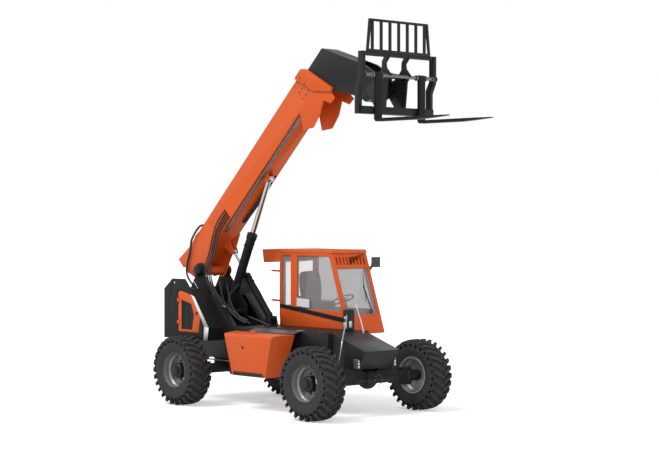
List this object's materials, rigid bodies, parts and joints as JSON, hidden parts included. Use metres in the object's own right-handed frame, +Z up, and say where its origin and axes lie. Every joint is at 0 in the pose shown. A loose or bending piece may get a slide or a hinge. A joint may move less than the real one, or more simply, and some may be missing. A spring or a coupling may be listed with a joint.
{
  "type": "telehandler",
  "caption": "Rough-terrain telehandler with a side cab, a raised telescopic boom, a fork carriage with a load backrest, a rear engine cover and steered wheels on both axles.",
  "frame": {"origin": "on the ground, in the middle of the machine's length and width", "axes": "+X forward, +Y to the machine's left, +Z up"},
  "size_m": [6.3062, 2.572, 5.77],
  "materials": {
    "orange_paint": "satin",
    "black_paint": "satin",
    "rim_grey": "satin",
    "tyre": "matte",
    "chrome_rod": "polished",
    "steel": "satin",
    "cast_metal": "matte",
    "glass": "clear",
    "black_plastic": "matte",
    "lamp": "gloss",
    "seat_fabric": "matte"
  },
  "bodies": {
    "chassis": {"main_frame": "black_paint", "boom_tower": "black_paint", "engine": "cast_metal", "driveline": "cast_metal", "rear_cover": "black_paint", "tank": "orange_paint", "lamps": "lamp", "valve_post": "black_paint", "cab_base": "black_paint", "cab_side": "orange_paint", "cab_front": "orange_paint", "cab_rear": "orange_paint", "cab_roof": "orange_paint", "cab_glass": "glass", "rear_window": "black_paint", "seat": "seat_fabric", "controls": "black_plastic", "mirror": "black_plastic", "front_axle": "cast_metal", "rear_axle": "cast_metal"},
    "boom": {"boom_base": "orange_paint", "boom_collar": "black_paint", "boom_lines": "steel"},
    "inner_boom": {"boom_inner": "black_paint"},
    "fork_carriage": {"carriage": "black_paint", "backrest": "black_paint", "forks": "black_paint"},
    "lift_rod": {"lift_rod": "chrome_rod"},
    "lift_barrel": {"lift_barrel": "black_paint"},
    "levelling_barrel": {"slave_barrel": "black_paint"},
    "levelling_rod": {"slave_rod": "chrome_rod"},
    "tilt_barrel": {"tilt_barrel": "black_paint"},
    "tilt_rod": {"tilt_rod": "chrome_rod"},
    "cab_door": {"cab_door": "orange_paint", "door_glass": "glass"},
    "left_engine_door": {"engine_door_left": "orange_paint"},
    "right_engine_door": {"engine_door_right": "orange_paint"},
    "front_left_knuckle": {"front_left_knuckle": "cast_metal"},
    "front_left_wheel": {"front_left_rim": "rim_grey", "front_left_tyre": "tyre"},
    "front_right_knuckle": {"front_right_knuckle": "cast_metal"},
    "front_right_wheel": {"front_right_rim": "rim_grey", "front_right_tyre": "tyre"},
    "rear_left_knuckle": {"rear_left_knuckle": "cast_metal"},
    "rear_left_wheel": {"rear_left_rim": "rim_grey", "rear_left_tyre": "tyre"},
    "rear_right_knuckle": {"rear_right_knuckle": "cast_metal"},
    "rear_right_wheel": {"rear_right_rim": "rim_grey", "rear_right_tyre": "tyre"}
  },
  "joints": [
    {"name": "boom_lift", "type": "hinge", "parent": "chassis", "child": "boom", "pos_m": [-2.51293, 0, 2.056], "axis": [0, -1, 0], "range_deg": [-47.6, 25.4]},
    {"name": "boom_extend", "type": "slide", "parent": "boom", "child": "inner_boom", "axis": [0.712, 0, 0.7022], "range_m": [0, 3.2]},
    {"name": "carriage_tilt", "type": "hinge", "parent": "inner_boom", "child": "fork_carriage", "pos_m": [1.37306, 0, 4.78998], "axis": [0, 1, 0], "range_deg": [-57, 85]},
    {"name": "lift_rod_turn", "type": "hinge", "parent": "boom", "child": "lift_rod", "pos_m": [-1.0601, -0.04, 3.53082], "axis": [0, -1, 0], "range_deg": [-3.53, 6.17]},
    {"name": "lift_barrel_slide", "type": "slide", "parent": "lift_rod", "child": "lift_barrel", "axis": [-0.4192, 0, -0.9079], "range_m": [-0.60149, 0.3219]},
    {"name": "levelling_barrel_turn", "type": "hinge", "parent": "chassis", "child": "levelling_barrel", "pos_m": [-1.19493, 0.118, 1.322], "axis": [0, -1, 0], "range_deg": [-3.26, 5.67]},
    {"name": "levelling_rod_slide", "type": "slide", "parent": "levelling_barrel", "child": "levelling_rod", "axis": [-0.6576, 0, 0.7534], "range_m": [-0.3913, 0.20974]},
    {"name": "tilt_barrel_turn", "type": "hinge", "parent": "inner_boom", "child": "tilt_barrel", "pos_m": [0.52301, 0, 4.99999], "axis": [0, -1, 0], "range_deg": [-10.02, 6.88]},
    {"name": "tilt_rod_slide", "type": "slide", "parent": "tilt_barrel", "child": "tilt_rod", "axis": [0.9995, 0, 0.0329], "range_m": [-0.19759, 0.29366]},
    {"name": "cab_door_hinge", "type": "hinge", "parent": "chassis", "child": "cab_door", "pos_m": [-1.15393, 1.062, 1.8], "axis": [0, 0, 1], "range_deg": [0, 85]},
    {"name": "right_engine_door_hinge", "type": "hinge", "parent": "chassis", "child": "right_engine_door", "pos_m": [-2.51993, -0.712, 1.4], "axis": [0, 0, -1], "range_deg": [0, 110]},
    {"name": "left_engine_door_hinge", "type": "hinge", "parent": "chassis", "child": "left_engine_door", "pos_m": [-2.51993, 0.712, 1.4], "axis": [0, 0, 1], "range_deg": [0, 110]},
    {"name": "front_right_steer", "type": "hinge", "parent": "chassis", "child": "front_right_knuckle", "pos_m": [1.09807, -0.85, 0.54], "axis": [0, 0, 1], "range_deg": [-35, 35]},
    {"name": "front_right_roll", "type": "hinge", "parent": "front_right_knuckle", "child": "front_right_wheel", "pos_m": [1.09807, -1.1, 0.54], "axis": [0, 1, 0], "continuous": true},
    {"name": "front_left_steer", "type": "hinge", "parent": "chassis", "child": "front_left_knuckle", "pos_m": [1.09807, 0.85, 0.54], "axis": [0, 0, 1], "range_deg": [-35, 35]},
    {"name": "front_left_roll", "type": "hinge", "parent": "front_left_knuckle", "child": "front_left_wheel", "pos_m": [1.09807, 1.1, 0.54], "axis": [0, 1, 0], "continuous": true},
    {"name": "rear_right_steer", "type": "hinge", "parent": "chassis", "child": "rear_right_knuckle", "pos_m": [-1.91193, -0.85, 0.54], "axis": [0, 0, 1], "range_deg": [-35, 35]},
    {"name": "rear_right_roll", "type": "hinge", "parent": "rear_right_knuckle", "child": "rear_right_wheel", "pos_m": [-1.91193, -1.1, 0.54], "axis": [0, 1, 0], "continuous": true},
    {"name": "rear_left_steer", "type": "hinge", "parent": "chassis", "child": "rear_left_knuckle", "pos_m": [-1.91193, 0.85, 0.54], "axis": [0, 0, 1], "range_deg": [-35, 35]},
    {"name": "rear_left_roll", "type": "hinge", "parent": "rear_left_knuckle", "child": "rear_left_wheel", "pos_m": [-1.91193, 1.1, 0.54], "axis": [0, 1, 0], "continuous": true}
  ],
  "couplings": [
    {"joint": "lift_rod_turn", "follows": "boom_lift", "ratio": -0.1192},
    {"joint": "lift_barrel_slide", "follows": "boom_lift", "m_per_rad": 0.7216},
    {"joint": "levelling_barrel_turn", "follows": "boom_lift", "ratio": -0.1085},
    {"joint": "levelling_rod_slide", "follows": "boom_lift", "m_per_rad": 0.4686},
    {"joint": "tilt_barrel_turn", "follows": "carriage_tilt", "ratio": -0.112},
    {"joint": "tilt_rod_slide", "follows": "carriage_tilt", "m_per_rad": 0.1966},
    {"joint": "front_left_steer", "follows": "front_right_steer", "ratio": 1},
    {"joint": "rear_left_steer", "follows": "rear_right_steer", "ratio": 1}
  ]
}
